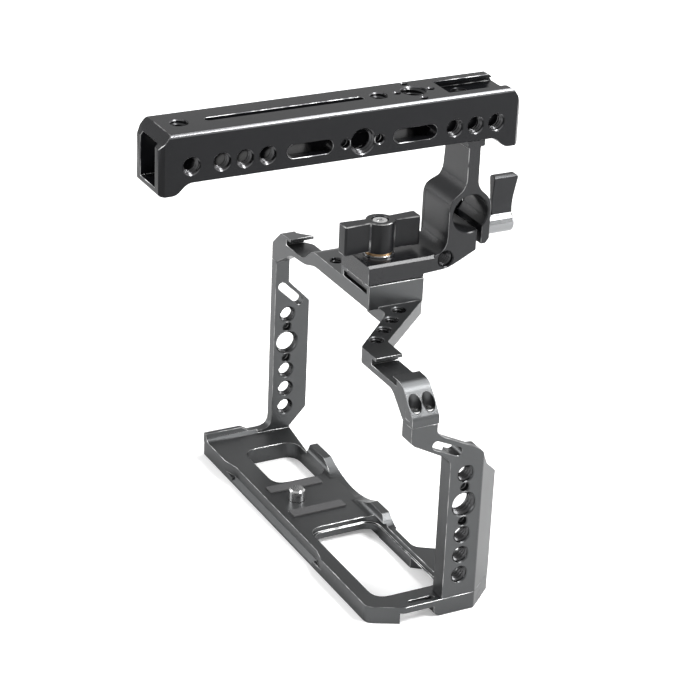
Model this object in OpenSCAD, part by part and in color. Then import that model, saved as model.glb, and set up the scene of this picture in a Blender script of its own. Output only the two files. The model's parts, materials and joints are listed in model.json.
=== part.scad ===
// Camera cage with a top handle: three milled frame pieces round the camera, and a handle whose
// arm clamps into the cage's central shoe and holds a 15 mm rod.
// The origin is the camera screw's axis on the face the camera sits on. +X is the grip side,
// +Y is the lens side and +Z is up.

/* [Base plate] */
// Length of the base plate, side to side
plate_l = 150.2; // [146:0.1:156]
// Width of the base plate, back to front
plate_w = 38.1; // [37.8:0.1:40]
// Thickness of the base plate
plate_t = 7; // [6.6:0.1:9]
// Distance from the camera screw to the left end
screw_from_left = 60.9; // [59:0.1:62]
// Distance from the camera screw to the back edge
screw_from_back = 12.6; // [12.2:0.1:13]
// Depth of the clamping groove along the back edge
groove_d = 1.7; // [1:0.1:2.4]
// Height of the two lips that stop the camera turning
lip_h = 3.9; // [2:0.1:4.5]
// Radius of the lens clearance between the two lips
lens_r = 45; // [43:0.5:55]

/* [Uprights] */
// Thickness of the left upright
wall_t = 4.1; // [3.6:0.1:5]
// Distance from the camera screw to the back face of the uprights and the top bar
wall_y = 16.3; // [15.5:0.1:17]
// Height of the left upright, from the camera seat to the seam
seam_z = 76.4; // [74:0.1:78]
// Thickness of the grip-side upright and its bracket
grip_t = 7; // [6:0.1:7.6]
// Height of the 3/8 inch hole in the left upright
left_row_z = 39.5; // [38:0.1:41]
// Height of the 3/8 inch hole in the grip-side upright
grip_row_z = 38.4; // [37:0.1:40]

/* [Top bar] */
// Rise of the top bar's upper face above the left upright's seam
bar_rise = 17.1; // [16.1:0.1:18.1]
// Thickness of the top bar
bar_t = 5.7; // [5:0.1:6.5]
// Height of the diagonal strap's upper face above the top bar's underside
strap_bite = 0.8; // [0.4:0.1:1.6]
// Thickness of the diagonal strap
strap_t = 5.5; // [5:0.1:6]
// Height of the curved end, from the strap's upper face down to the seam with the bracket
end_drop = 14.7; // [13.7:0.1:15.7]

/* [Shoes] */
// Inner width of a cold shoe
shoe_w = 18.8; // [18.6:0.1:19]
// Gap between a cold shoe's lips
shoe_gap = 12.8; // [12.5:0.1:13]
// Height of a cold shoe's slot
shoe_h = 2.3; // [2.2:0.1:2.6]
// Thickness of a cold shoe's lips
shoe_lip = 1.4; // [1.2:0.1:1.8]
// Outer width of the central shoe
dock_w = 23; // [22.4:0.1:24]
// Length of the central shoe, back to front
dock_l = 23.3; // [22:0.1:24]
// Rise of the central shoe above the top bar
dock_rise = 4.1; // [3.7:0.1:4.9]
// Distance from the camera screw to the handle's centre plane
dock_x = 10; // [9:0.1:11]

/* [Handle] */
// Length of the handle
handle_l = 146.6; // [144:0.1:150]
// Width of the handle
handle_w = 22.6; // [21.6:0.1:24]
// Rise of the handle's top above the rod's axis
handle_rise = 48; // [46:0.1:50]
// Height of the handle at its ends
handle_h = 22.8; // [22:0.1:24]
// Depth of the finger arch under the handle
arch_h = 4.2; // [3:0.1:4.6]
// Thickness of the handle's side walls
handle_wall = 4.9; // [4:0.1:5.2]

/* [Arm] */
// Width of the arm
arm_w = 22; // [21:0.1:22.6]
// Height of the arm's foot
foot_h = 7.8; // [7:0.1:8.2]
// Radius of the rod bore
rod_r = 7.55; // [7.5:0.01:7.6]
// Rise of the rod's axis above the central shoe
rod_rise = 22.9; // [22:0.1:24]
// Distance from the back of the central shoe to the rod's axis
rod_in = 42.4; // [41.8:0.1:43]

/* [Knobs] */
// Length of the wing knob
knob_l = 32; // [28:0.5:32]
// Thickness of the knob's wings
knob_t = 6; // [5:0.1:7]
// Height of the wing knob
knob_h = 12.3; // [11:0.1:13]
// Radius of the knob's boss
boss_r = 5.6; // [5:0.1:6]
// Distance from the back face of the shoe to the knob's axis
knob_in = 9.5; // [9:0.1:10.5]
// Radius of the lever's hub
hub_r = 4.1; // [4:0.1:4.8]
// Height of the lever above its axis
lever_h = 19.7; // [17:0.1:24]

/* [Threads] */
// Radius of the tapping holes in the top bar and the strap
tapped_r = 2.6; // [2.5:0.05:3.2]
// Radius of a 1/4 inch thread
quarter_r = 3.175; // [3.1:0.005:3.25]
// Radius of a 3/8 inch thread
three_eighths_r = 4.763; // [4.7:0.001:4.85]
// Radius of a locating pin hole
pin_r = 1.75; // [1.5:0.05:2]

/* [Hidden] */
$fn = 48;

// Shared clearances and overruns
cut = 1;
run_gap = 0.05;
seat_gap = 0.1;
mouth = 0.4;
cage_col = [0.36, 0.36, 0.37];
kit_col = [0.14, 0.14, 0.15];
steel_col = [0.75, 0.75, 0.76];

// Main levels, each above the one that carries it
bar_z = seam_z + bar_rise;
strap_z = bar_z - bar_t + strap_bite;
grip_seam_z = strap_z - end_drop;
dock_z = bar_z + dock_rise;
rod_z = dock_z + rod_rise;
rod_y = wall_y + rod_in;
handle_z = rod_z + handle_rise;

// Outer limits of the base plate
x_left = -screw_from_left;
x_grip = x_left + plate_l;
y_back = -screw_from_back;
y_front = y_back + plate_w;

// Base plate: corner chamfer, forward extension and the block under the grip-side upright
corner_x = 6.3;
corner_y = 12.8;
corner_soft = 2.6;
wing_x = 10.2;
wing_y = 15.4;
block_in = 13.2;
block_y = y_front - block_in;
block_soft = 3.4;
ext_run = 38;
ext_x = x_grip - ext_run;
ext_side = 10.3;
web_t = 2.6;
web_in = 11.3;
web_y = y_back + web_in;
rib_in = 2.3;
rib_x = ext_x + rib_in;
rib_run = 0.75;
rim = 3;
foot_in = 0.8;
foot_end = y_front - foot_in;
notch_side = 3.8;
lip_in = 15.7;
lip_x = ext_x - lip_in;
lip_far_x = 33.4;
lip_y = 3.4;
lip_blend = 3;
lens_dip = 0.9;
lens_cut_y = 3.4;
ext_in = 0.9;
edge_soft = 0.6;
groove_in_left = 21;
groove_in_grip = 43.2;
groove_x0 = x_left + groove_in_left;
groove_x1 = x_grip - groove_in_grip;
groove_step = 6.8;
groove_z = 4.3;
groove_foot = 1.2;

// Rubber strips
pad_w = 5;
pad_l = 23;
pad_t = 1.5;
pad_sunk = 0.9;
pad_x = 10.3;
pad_in = 5.1;
pad_y = y_back + pad_in;

// Base plate windows, with the rims left on their -x, +x, back and front sides
window_left_rims = [16.2, 1.4, 10.1, 4.5];
window_grip_rims = [10.5, 10.2, 5.9, 3.2];
window_1 = [x_left + window_left_rims[0], -pad_x - pad_w / 2 - window_left_rims[1],
    y_back + window_left_rims[2], y_front - window_left_rims[3]];
window_2 = [pad_x + pad_w / 2 + window_grip_rims[0], x_grip - window_grip_rims[1],
    y_back + window_grip_rims[2], y_front - window_grip_rims[3]];
window_soft = 6;
window_ledge = 0.8;
window_ledge_z = 2.2;
window_relief = 3.4;
window_relief_z = 5;

// Strap slot and ledge at the plate's two ends
strap_slot_w = 2;
strap_slot_l = 8.8;
strap_slot_in = 3;
strap_slot_back = 16.6;
strap_slot_y = y_back + strap_slot_back;
ledge_h = 3;
ledge_w = 4.6;
ledge_l = 16;
ledge_top = 1.9;
ledge_low = 1.2;
ledge_fall = 3.2;
wall_fillet = 5;

// Left upright outline and its holes
neck_w = 6.1;
wall_out = 6.4;
wall_front = y_front + wall_out;
wall_slant = 9.7;
wall_shoulder = 19.4;
wall_slant_z = seam_z - wall_slant;
wall_shoulder_z = seam_z - wall_shoulder;
wall_foot_z = 8.4;
hole_in = 5.9;
hole_y = wall_y + hole_in;
slot_r = 1.75;
slot_low_in = [10.9, 19];
slot_high_in = [3.1, 11.5];
slot_low = [wall_y + slot_low_in[0], seam_z - slot_low_in[1]];
slot_high = [wall_y + slot_high_in[0], seam_z - slot_high_in[1]];
// Hole heights from the 3/8 inch hole
quarter_steps = [12.6, -12.6, -21, -29.4];
pin_step = 7;
pin_deep = 2.6;

// Tongue of the left upright inside the top bar's corner, with its screws
tongue_t = 1.9;
tongue_in = 1.5;
tongue_h = 8.4;
tongue_side = 1;
tongue_gap = 0.05;
m2_r = 1.2;
m2_head_r = 2.1;
m2_head_h = 1.1;
m2_l = 3.3;
m2_z = [2.6, 6];

// Camera screw and its pocket
screw_tip = 4.8;
screw_chamfer = 0.6;
screw_head_r = 6.4;
screw_head_h = 2.6;
screw_neck_r = 2.5;
pocket_r = 6.9;
pocket_h = 3.7;
ring_t = 0.6;
ring_in = 0.3;
ring_r = 5.2;
ring_grip = 0.5;
hex_r = 2.3;
hex_h = 1.8;

// Grip-side upright: plan section, top slope, bracket and its slot
grip_back_out = 0.9;
grip_front_in = 12.9;
grip_back = wall_y - grip_back_out;
grip_front = wall_y + grip_front_in;
wing_front = y_front + wing_y;
wing_t = 4.6;
bracket_out = 17.8;
bracket_y = wall_y - bracket_out;
bracket_w = 10.7;
bracket_skin = 2.7;
bracket_low = 7.4;
bracket_low_z = grip_seam_z - bracket_low;
bracket_corner = 1.4;
bracket_foot = 15.6;
bracket_top = 5.6;
bracket_foot_z = grip_seam_z - bracket_foot;
bracket_top_z = grip_seam_z - bracket_top;
bracket_fall = 6.8;
pocket_in = 0.4;
bracket_step = 2;
bracket_slot_r = 1.75;
bracket_slot_a_in = [7.1, 8.9];
bracket_slot_b_in = [1.8, 13];
bracket_slot_a = [wall_y - bracket_slot_a_in[0], grip_seam_z - bracket_slot_a_in[1]];
bracket_slot_b = [wall_y + bracket_slot_b_in[0], grip_seam_z - bracket_slot_b_in[1]];
grip_top = 13.5;
grip_top_z = grip_seam_z - grip_top;
crest_in = [10.8, 13.4];
grip_crest = [wall_y + crest_in[0], grip_seam_z - crest_in[1]];
// Steps of the wing's top, from the back of the uprights and from the seam
wing_steps = [[24.9, 30.7], [16.1, 21.9], [13.7, 17.4], [12.7, 15.2]];

// Screws of the grip side
m3_r = 1.5;
m3_head_r = 2.75;
m3_head_h = 3;
m3_socket_r = 1.45;
m3_socket_h = 1.6;
grip_screw_pitch = 6.1;
grip_screw_in = 3.7;
grip_screw_seat = 1.9;
grip_screw_z = grip_seam_z + grip_screw_seat;
grip_screw_l = 8;
bore_r = 2.95;
foot_screw_l = 8.4;
foot_screw_z = 3.4;
foot_screws_in = [[3.6, 3.4], [5.8, 16.6]];
foot_screws = [for (p = foot_screws_in) [x_grip - p[0], wall_y + p[1]]];

// Top bar: corner block, far shoe and bar
block_chamfer = 7.2;
corner_drop = 2.7;
corner_z = bar_z - corner_drop;
corner_fall = 0.7;
far_lip_in = 16;
far_wall_in = 12.5;
far_lip_x = x_left + far_lip_in;
far_wall_x = x_left + far_wall_in;
far_floor_z = corner_z - shoe_lip - shoe_h;
far_floor_in = 27.5;
ramp_in = 35;
gusset_in = 17;
gusset_rise = 8;
dip_in = 29;
dip_drop = 8.3;
bar_low_in = 37;
bar_hole_out = 24;
far_floor_end = x_left + far_floor_in;
bar_rise_x = x_left + ramp_in;
gusset_x = x_left + gusset_in;
gusset_z = seam_z + gusset_rise;
dip_x = x_left + dip_in;
dip_z = bar_z - dip_drop;
bar_low_x = x_left + bar_low_in;
bar_hole_x = dock_x - bar_hole_out;
bar_hole_in = 4.6;
far_shoe_w = 10.6;
bar_mid_w = 14.7;
bar_mid_in = 33.9;
bar_mid_x = x_left + bar_mid_in;

// Diagonal strap, second shoe and curved end
near_lip_in = 28.7;
near_lip_x = x_grip - near_lip_in;
strap_flat = 11.2;
strap_corner_x = near_lip_x - strap_flat;
strap_run = 21.8;
strap_root_x = strap_corner_x - strap_run;
strap_back_out = 17.7;
strap_w = 11;
strap_back = wall_y - strap_back_out;
strap_front = strap_back + strap_w;
strap_root_in = 4.3;
strap_root = wall_y + strap_root_in;
strap_under = 9;
strap_soft = 1.2;
strap_holes = 4;
strap_pitch = 9.5;
strap_hole_out = [1.2, 5.9];
strap_hole_first = [strap_root_x - strap_hole_out[0], strap_root + strap_hole_out[1]];
near_floor_z = strap_z - shoe_lip - shoe_h;
near_low = 6.3;
near_low_z = strap_z - near_low;
end_inner_in = 15.9;
end_inner_x = x_grip - end_inner_in;
// Points of the curved end: in from the end, and up or down
end_heel = [4.6, 4];
end_lip_h = 3.2;
end_crest = [8.7, 1.2];
shoe_rim_drop = 1;

// Central shoe and clamp plate
dock_front = wall_y + dock_l;
dock_floor_z = dock_z - shoe_lip - shoe_h;
plate_side = 0.25;
plate_thick = 1.5;
plate_end = 0.9;
knob_y = wall_y + knob_in;
stud_r = 2.5;
stud_under = 0.45;

// Arm profile
foot_z = dock_z + seat_gap;
foot_top = foot_z + foot_h;
foot_out = 0.4;
foot_back = wall_y - foot_out;
foot_edge = 0.9;
rib_gap = 0.3;
rib_drop = 1.2;
heel_back = 19;
heel_run = 10.6;
heel_y = rod_y - heel_back;
heel_z = 1.2;
jaw_wall = 1.3;
jaw_y = rod_y + rod_r + jaw_wall;
jaw_t = 3.6;
slit_w = 1.9;
neck_in = 3;
neck_taper = 1.5;
jaw_drop = 13.2;
jaw_step = 1.4;
jaw_z = rod_z - jaw_drop;
jaw_cut = 1.5;
jaw_rise = 1.95;
jaw_soft_z = 4.6;
back_wall = 1.8;
neck_half = [2.5, 2.6];
neck_back = rod_y - neck_half[0];
neck_front = rod_y + neck_half[1];
flange_t = 2.7;
flange_back = 0.9;
flange_front = 1.7;
shoulder_rise = 6.2;
neck_rise = 10.4;
shoulder_z = rod_z + shoulder_rise;
neck_z = rod_z + neck_rise;
arm_hole_in = [9.8, 5.8];
arm_hole = [rod_y - arm_hole_in[0], foot_z + arm_hole_in[1]];
foot_edge_out = 7;
arm_bottom = handle_z - handle_h + arch_h;
clamp_drop = 10.4;
clamp_z = rod_z - clamp_drop;
clamp_r = 2.4;
clamp_in = 10;
clamp_short = 2;

// Handle details
handle_out = 18.9;
handle_front = rod_y + handle_out;
handle_back = handle_front - handle_l;
handle_edge = 1.9;
handle_end = 1.8;
end_cut_y = 4.2;
end_cut_z = 5.1;
nose_y = 3.9;
nose_z = 5.7;
arch_in = 6.4;
arch_run = 4.2;
channel_floor = 2.5;
channel_top = 4;
channel_out = 10.2;
channel_end = neck_back - channel_out;
side_row_in = 12.3;
side_row_z = handle_z - side_row_in;
// Places along the handle: holes from the back end, holes from the front end
back_quarters_in = [12, 23.8, 32.7, 41.6];
front_quarters_in = [28.4, 19.5, 10.6];
side_quarters = concat([for (d = back_quarters_in) handle_back + d],
    [for (d = front_quarters_in) handle_front - d]);
back_last = side_quarters[3];
front_first = side_quarters[4];
side_quarter_deep = 4.4;
side_big_share = 0.49869;
side_big = back_last + (front_first - back_last) * side_big_share;
side_slot_gaps = [10.4, 14.8, 15.4, 10.2];
side_slots = [[back_last + side_slot_gaps[0], side_big - side_slot_gaps[1]],
    [side_big + side_slot_gaps[2], front_first - side_slot_gaps[3]]];
side_slot_r = 2.7;
top_shoe_l = 28.7;
top_shoe_in = handle_front - top_shoe_l;
top_big_out = 11.6;
top_big = top_shoe_in - top_big_out;
top_quarter_out = 14.7;
top_quarters = [handle_back + back_quarters_in[0], top_big - top_quarter_out];
top_pin_x = 8;
top_pin_y = 7.1;
top_pin_r = 1.3;
top_slot_gaps = [11.4, 7.8];
top_slot_y = [top_quarters[0] + top_slot_gaps[0], top_quarters[1] - top_slot_gaps[1]];
top_slot_r = 1.5;
bolt_x = 3.4;
bolt_y = (neck_back + neck_front) / 2;
bolt_deep = 3.3;
bolt_l = 26;

// Wing knob stack
washer_r = 6;
washer_t = 0.8;
thrust_r = 5;
thrust_t = 0.6;
knob_z = foot_top + washer_t + thrust_t + 2 * run_gap;
wing_lift = 0.5;
wing_end_soft = 1;
waist_share = 0.78;
knob_screw_r = 2.9;
knob_screw_h = 1.6;
knob_recess_r = 3.3;
knob_recess_h = 2;
knob_screw_l = 6;
knob_screw_shank = 1.2;

// Rod-clamp lever
hub_l = 15.3;
hub_gap = 0.3;
hub_y = jaw_y + hub_gap;
hub_end = 0.7;
blade_t = 4.2;
blade_waist = 1.4;
blade_back = 6.1;
blade_front = 16.6;
blade_root = 15.1;
blade_edge = 1;
lever_screw_r = 1.9;
lever_screw_h = 1.5;
lever_screw_deep = 1.6;

// Softness of outline corners
soft_tiny = 0.5;
soft_small = 1;
soft_end = 1.2;
soft_nose = 1.4;
soft_bend = 1.5;
soft_step = 1.6;
soft_mid = 2;
soft_arch = 2.4;
soft_wide = 3;
soft_jaw = 3.4;
soft_neck = 4;
soft_heel = 7;

function xy(p) = [p[0], p[1]];
function toward(a, b, d) = a + (b - a) * d / norm(b - a);
function blend(a, b, c, d, n = 5) = let (p = toward(b, a, d), q = toward(b, c, d))
    [for (i = [0:n]) let (t = i / n) p * pow(1 - t, 2) + b * 2 * t * (1 - t) + q * pow(t, 2)];
// An outline is a list of [across, up, softness], and the corners with a softness are rounded.
function outline(p) = let (n = len(p))
    [for (i = [0:n - 1]) each (p[i][2] > 0
        ? blend(xy(p[(i + n - 1) % n]), xy(p[i]), xy(p[(i + 1) % n]), p[i][2]) : [xy(p[i])])];
function capsule(a, b, r, n = 8) = let (w = atan2(b[1] - a[1], b[0] - a[0]))
    concat([for (i = [0:n]) b + r * [cos(w - 90 + 180 * i / n), sin(w - 90 + 180 * i / n)]],
        [for (i = [0:n]) a + r * [cos(w + 90 + 180 * i / n), sin(w + 90 + 180 * i / n)]]);
function window(b, inset, r) = outline([[b[0] + inset, b[2] + inset, r], [b[1] - inset, b[2] + inset, r],
    [b[1] - inset, b[3] - inset, r], [b[0] + inset, b[3] - inset, r]]);

module slab_xy(points, z0, z1) {
    translate([0, 0, z0]) linear_extrude(z1 - z0) polygon(points);
}

module slab_xz(points, y0, y1) {
    translate([0, y1, 0]) rotate([90, 0, 0]) linear_extrude(y1 - y0) polygon(points);
}

module slab_yz(points, x0, x1) {
    translate([x0, 0, 0]) rotate([90, 0, 90]) linear_extrude(x1 - x0) polygon(points);
}

module block(x0, x1, y0, y1, z0, z1) {
    translate([x0, y0, z0]) cube([x1 - x0, y1 - y0, z1 - z0]);
}

// A drilled hole from 0 to l along +Z, with a small chamfer at the open ends.
module drill(r, l, both = true) {
    translate([0, 0, both ? -cut : 0]) cylinder(h = l + (both ? 2 : 1) * cut, r = r);
    translate([0, 0, l - mouth]) cylinder(h = mouth + cut, r1 = r, r2 = r + mouth + cut);
    if (both) translate([0, 0, -cut]) cylinder(h = mouth + cut, r1 = r + mouth + cut, r2 = r);
}

module drill_x(x0, x1, y, z, r, both = true) {
    translate([x0, y, z]) rotate([0, 90, 0]) drill(r, x1 - x0, both);
}

module drill_y(x, y0, y1, z, r, both = true) {
    translate([x, y0, z]) rotate([-90, 0, 0]) drill(r, y1 - y0, both);
}

module drill_z(x, y, z0, z1, r, both = true) {
    translate([x, y, z0]) drill(r, z1 - z0, both);
}

// A socket head cap screw: the head's underside is at 0, the shank points down.
module cap_screw(l) {
    difference() {
        union() {
            cylinder(h = m3_head_h, r = m3_head_r);
            translate([0, 0, -l]) cylinder(h = l, r = m3_r);
        }
        translate([0, 0, m3_head_h - m3_socket_h]) cylinder(h = m3_socket_h + cut, r = m3_socket_r,
            $fn = 6);
    }
}

// Row of camera-side holes in an upright: 3/8 inch in the middle, pins beside it, 1/4 inch beyond.
module upright_holes(x0, x1, z) {
    drill_x(x0, x1, hole_y, z, three_eighths_r);
    for (s = quarter_steps) drill_x(x0, x1, hole_y, z + s, quarter_r);
}

module plate_body() {
    slab_xy(outline([
        [x_left, y_back, edge_soft],
        [x_grip - corner_x, y_back, corner_soft],
        [x_grip, y_back + corner_y, edge_soft],
        [x_grip, grip_front, edge_soft],
        [x_grip - wing_x, wing_front, edge_soft],
        [ext_x + ext_side, wing_front, edge_soft],
        [ext_x, y_front - ext_in, corner_soft],
        [lip_x + ext_in, y_front - ext_in, edge_soft],
        [lip_x, y_front, edge_soft / 2],
        [-lip_far_x, y_front, edge_soft],
        [-lip_far_x - edge_soft, y_front - notch_side, edge_soft],
        [x_left + wall_t, foot_end, edge_soft],
        [x_left, foot_end, edge_soft]]), -plate_t, 0);
}

// Two lips at the front edge, blended into the plate behind them and cleared for the lens.
module lens_lips() {
    lip_back = y_front - lip_y - lip_blend;
    difference() {
        lip_ridge();
        translate([0, lip_back - cut, lens_r - lens_dip]) rotate([-90, 0, 0])
            cylinder(h = lip_y + lip_blend + 2 * cut, r = lens_r, $fn = 180);
    }
}

module lip_ridge() {
    intersection() {
        slab_xz(outline([
            [-lip_far_x, -edge_soft, 0],
            [lip_x, -edge_soft, 0],
            [lip_x - lip_h, lip_h / 2, edge_soft],
            [lip_x - lip_h * 1.5, lip_h, edge_soft],
            [-lip_far_x + edge_soft, lip_h, edge_soft]]), y_front - lip_y - lip_blend, y_front);
        slab_yz(outline([
            [y_front - lip_y - lip_blend, -edge_soft, 0],
            [y_front, -edge_soft, 0],
            [y_front, lip_h, edge_soft / 2],
            [y_front - lip_y, lip_h, edge_soft / 2],
            [y_front - lip_y - lip_blend / 4, lip_h / 5, lip_blend / 2],
            [y_front - lip_y - lip_blend, 0, 0]]), -lip_far_x, lip_x);
    }
}

module left_wall() {
    slab_yz(outline([
        [wall_y - wall_fillet - ledge_low, -cut, 0],
        [wall_y - wall_fillet - ledge_low, ledge_low, 0],
        [wall_y, ledge_low, wall_fillet],
        [wall_y, seam_z, 0],
        [wall_y + neck_w, seam_z, 0],
        [wall_y + neck_w, wall_slant_z, edge_soft],
        [wall_front, wall_shoulder_z, edge_soft],
        [wall_front, wall_foot_z, edge_soft],
        [foot_end - seat_gap, edge_soft, edge_soft / 2],
        [foot_end - seat_gap, -cut, 0]]), x_left, x_left + wall_t);
    block(x_left + tongue_in, x_left + tongue_in + tongue_t, wall_y + tongue_side,
        wall_y + neck_w - tongue_side, seam_z - cut, seam_z + tongue_h);
}

// Ridge along the left end of the plate that the camera's side rests on.
module left_ledge() {
    intersection() {
        slab_xz(outline([
            [x_left, -cut, 0],
            [x_left, ledge_h, 0],
            [x_left + ledge_top, ledge_h, 0],
            [x_left + ledge_top + edge_soft, edge_soft * 2, edge_soft],
            [x_left + ledge_w, 0, 0],
            [x_left + ledge_w, -cut, 0]]), y_back, wall_y + cut);
        slab_yz([[y_back - cut, -2 * cut], [y_back - cut, ledge_h + cut], [y_back + ledge_l, ledge_h + cut],
            [y_back + ledge_l, ledge_h], [y_back + ledge_l + ledge_fall, ledge_low],
            [wall_y + 2 * cut, ledge_low], [wall_y + 2 * cut, -2 * cut]], x_left - cut,
                x_left + ledge_w + cut);
    }
}

module base_frame() {
    color(cage_col) difference() {
        union() {
            plate_body();
            lens_lips();
            left_wall();
            left_ledge();
        }
        // Clamping groove along the back edge
        slab_xy([
            [groove_x0 - groove_step * cut / groove_d, y_back - cut],
            [groove_x0 + groove_step, y_back + groove_d], [groove_x1 - groove_step, y_back + groove_d],
            [groove_x1 + groove_step * cut / groove_d, y_back - cut]], -groove_z, cut);
        slab_yz([
            [y_back - cut, -groove_z + edge_soft], [y_back + groove_d, -groove_z + edge_soft],
            [y_back + groove_d, -groove_z], [y_back, -plate_t + groove_foot],
            [y_back - cut, -plate_t + groove_foot]], groove_x0 + groove_step, groove_x1 - groove_step);
        // Windows, the larger with a shallow ledge round its upper edge
        slab_xy(window(window_1, 0, window_soft), -plate_t - cut, cut);
        slab_xy(window(window_2, window_ledge, window_soft), -plate_t - cut, cut);
        slab_xy(window(window_2, 0, window_soft), -window_ledge_z, cut);
        // Thin webs at the grip side, hollowed from below
        slab_yz(outline([
            [web_y, -plate_t - cut, 0],
            [web_y, -web_t, 0],
            [block_y, -web_t, 0],
            [block_y, -plate_t, block_soft],
            [block_y + block_soft + cut, -plate_t, 0],
            [block_y + block_soft + cut, -plate_t - cut, 0]]), window_2[1] - window_soft, x_grip + cut);
        slab_xy([
            [rib_x, window_2[3] - 2 * cut],
            [window_2[1] - cut, window_2[3] - 2 * cut],
            [window_2[1] - cut, wing_front - 2 * rim],
            [window_2[1] - 2 * rim, wing_front - rim],
            [rib_x + rib_run * (wing_front - rim - window_2[3] + 2 * cut), wing_front - rim]],
            -plate_t - cut, -web_t);
        block(window_2[0] - window_relief, window_2[0] + window_soft, window_2[2] + edge_soft,
            window_2[3] - edge_soft, -plate_t - cut, -window_relief_z);
        // Lens clearance, a little lower than the camera seat
        translate([0, y_front - lens_cut_y, lens_r - lens_dip]) rotate([-90, 0, 0])
            cylinder(h = lens_cut_y + cut, r = lens_r, $fn = 180);
        // Strap slot
        slab_xy(capsule([x_grip - strap_slot_in, strap_slot_y],
            [x_grip - strap_slot_in, strap_slot_y + strap_slot_l],
            strap_slot_w / 2), -plate_t - cut, cut);
        // Camera screw hole, and its pocket with the ring's groove
        translate([0, 0, -plate_t - cut]) cylinder(h = plate_t + 2 * cut, r = quarter_r + run_gap);
        translate([0, 0, -plate_t - cut]) cylinder(h = pocket_h + cut, r = pocket_r);
        translate([0, 0, -plate_t + ring_in - run_gap])
            cylinder(h = ring_t + 2 * run_gap, r = pocket_r + ring_grip);
        // Seats of the rubber strips
        for (s = [-1, 1]) pad(s, pad_sunk, pad_sunk + cut, 0);
        // Upright holes, pins and slot
        upright_holes(x_left, x_left + wall_t, left_row_z);
        for (s = [-1, 1])
            drill_x(x_left + wall_t - pin_deep, x_left + wall_t, hole_y, left_row_z + s * pin_step,
                pin_r, false);
        slab_yz(capsule(slot_low, slot_high, slot_r), x_left - cut, x_left + wall_t + cut);
        for (z = m2_z) translate([x_left, wall_y + neck_w / 2, seam_z + z]) rotate([0, 90, 0])
            cylinder(h = tongue_in + tongue_t + cut, r = m2_r + run_gap);
        // Screws into the grip-side upright
        for (p = foot_screws) {
            drill_z(p[0], p[1], -plate_t, 0, m3_r + run_gap);
            translate([p[0], p[1], -plate_t - cut]) cylinder(h = foot_screw_z + cut, r = bore_r);
        }
    }
}

module pad(side, sunk, h, inset) {
    block(side * pad_x - pad_w / 2 + inset, side * pad_x + pad_w / 2 - inset,
        pad_y + inset, pad_y + pad_l - inset, -sunk, -sunk + h);
}

module pad_left() {
    color([0.16, 0.16, 0.16]) pad(-1, pad_sunk, pad_t, seat_gap);
}

module pad_right() {
    color([0.16, 0.16, 0.16]) pad(1, pad_sunk, pad_t, seat_gap);
}

module camera_screw() {
    head_z = -plate_t + pocket_h - screw_head_h;
    color(steel_col) difference() {
        union() {
            translate([0, 0, head_z]) cylinder(h = screw_head_h, r = screw_head_r);
            translate([0, 0, head_z]) cylinder(h = -head_z, r = screw_neck_r);
            cylinder(h = screw_tip - screw_chamfer, r = quarter_r);
            translate([0, 0, screw_tip - screw_chamfer])
                cylinder(h = screw_chamfer, r1 = quarter_r, r2 = quarter_r - screw_chamfer);
        }
        translate([0, 0, head_z - cut]) cylinder(h = hex_h + cut, r = hex_r, $fn = 6);
    }
}

module screw_ring() {
    color("dimgray") translate([0, 0, -plate_t + ring_in]) difference() {
        cylinder(h = ring_t, r = pocket_r + ring_grip - run_gap);
        translate([0, 0, -cut]) cylinder(h = ring_t + 2 * cut, r = ring_r);
    }
}

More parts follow.
